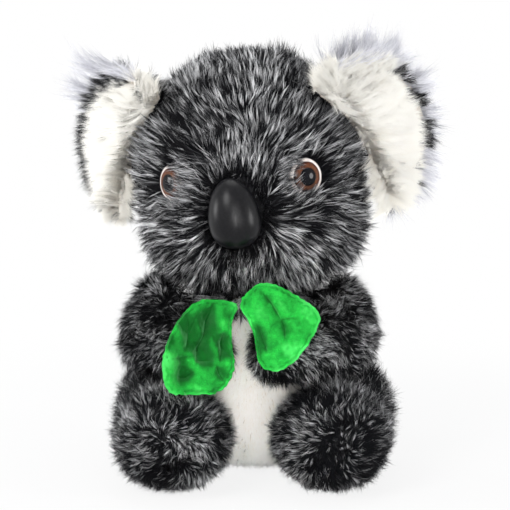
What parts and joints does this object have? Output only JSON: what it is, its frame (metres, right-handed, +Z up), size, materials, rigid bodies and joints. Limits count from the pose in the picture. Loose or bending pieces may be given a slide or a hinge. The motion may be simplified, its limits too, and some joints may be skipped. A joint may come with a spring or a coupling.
{
  "type": "plush koala",
  "caption": "Long-haired grey plush koala that sits upright with its feet ahead, white-lined ears, moulded nose and eyes, and sewn green leaves held at the chest.",
  "frame": {"origin": "middle of the flat under the body, where the toy sits", "axes": "+Z up, -Y the way the toy faces, +X towards the toy's own left"},
  "size_m": [0.182, 0.1374, 0.2144],
  "materials": {
    "grey_fur": "long salt-and-pepper pile",
    "dark_fur": "long dark pile with frosted tips",
    "white_plush": "dense white pile",
    "green_velour": "short green pile with sewn veins",
    "stuffing_fibre": "loose polyester fibre",
    "pellet_cloth": "plain woven bag of pellets",
    "nose_plastic": "satin moulded",
    "eye_white": "glossy moulded",
    "eye_brown": "glossy, clear over brown",
    "eye_black": "glossy moulded",
    "washer_plastic": "moulded lock washer"
  },
  "bodies": {
    "body": {"base_panel": "dark_fur", "belly_panel": "white_plush", "body_cover": "dark_fur", "body_stuffing": "stuffing_fibre", "pellet_bag": "pellet_cloth"},
    "head": {"face_cover": "grey_fur", "head_back_cover": "grey_fur", "head_stuffing": "stuffing_fibre", "nose": "nose_plastic", "nose_washer": "washer_plastic", "left_eye_white": "eye_white", "left_eye_iris": "eye_brown", "left_eye_pupil": "eye_black", "left_eye_washer": "washer_plastic", "right_eye_white": "eye_white", "right_eye_iris": "eye_brown", "right_eye_pupil": "eye_black", "right_eye_washer": "washer_plastic"},
    "left_ear": {"left_ear_lining": "white_plush", "left_ear_back": "dark_fur"},
    "left_leg": {"left_foot_cover": "dark_fur", "left_thigh_cover": "dark_fur", "left_leg_stuffing": "stuffing_fibre"},
    "left_arm": {"left_arm_cover": "dark_fur", "left_arm_stuffing": "stuffing_fibre", "left_leaf_front": "green_velour", "left_leaf_back": "green_velour"},
    "right_ear": {"right_ear_lining": "white_plush", "right_ear_back": "dark_fur"},
    "right_leg": {"right_foot_cover": "dark_fur", "right_thigh_cover": "dark_fur", "right_leg_stuffing": "stuffing_fibre"},
    "right_arm": {"right_arm_cover": "dark_fur", "right_arm_stuffing": "stuffing_fibre", "right_leaf_front": "green_velour", "right_leaf_back": "green_velour"}
  },
  "joints": [
    {"name": "neck", "type": "hinge", "parent": "body", "child": "head", "pos_m": [0.002, 0, 0.1], "axis": [-0.0689, 0.0109, 0.9976], "range_deg": [-12, 12], "stiffness_Nm_per_rad": 0.12},
    {"name": "left_ear_fold", "type": "hinge", "parent": "head", "child": "left_ear", "pos_m": [0.0483, -0.01888, 0.16455], "axis": [-0.4121, -0.2265, 0.8825], "range_deg": [-10, 10], "stiffness_Nm_per_rad": 0.02},
    {"name": "right_ear_fold", "type": "hinge", "parent": "head", "child": "right_ear", "pos_m": [-0.05627, -0.00232, 0.15715], "axis": [0.197, -0.323, 0.9257], "range_deg": [-10, 10], "stiffness_Nm_per_rad": 0.02},
    {"name": "left_hip", "type": "hinge", "parent": "body", "child": "left_leg", "pos_m": [0.036, 0.01, 0.031], "axis": [0, 0, 1], "range_deg": [-4, 12], "stiffness_Nm_per_rad": 0.1},
    {"name": "right_hip", "type": "hinge", "parent": "body", "child": "right_leg", "pos_m": [-0.036, 0.01, 0.031], "axis": [0, 0, 1], "range_deg": [-12, 4], "stiffness_Nm_per_rad": 0.1},
    {"name": "left_shoulder", "type": "hinge", "parent": "body", "child": "left_arm", "pos_m": [0.032, 0, 0.093], "axis": [0, 0, 1], "range_deg": [0, 15], "stiffness_Nm_per_rad": 0.06},
    {"name": "right_shoulder", "type": "hinge", "parent": "body", "child": "right_arm", "pos_m": [-0.032, 0, 0.093], "axis": [0, 0, 1], "range_deg": [-15, 0], "stiffness_Nm_per_rad": 0.06}
  ]
}
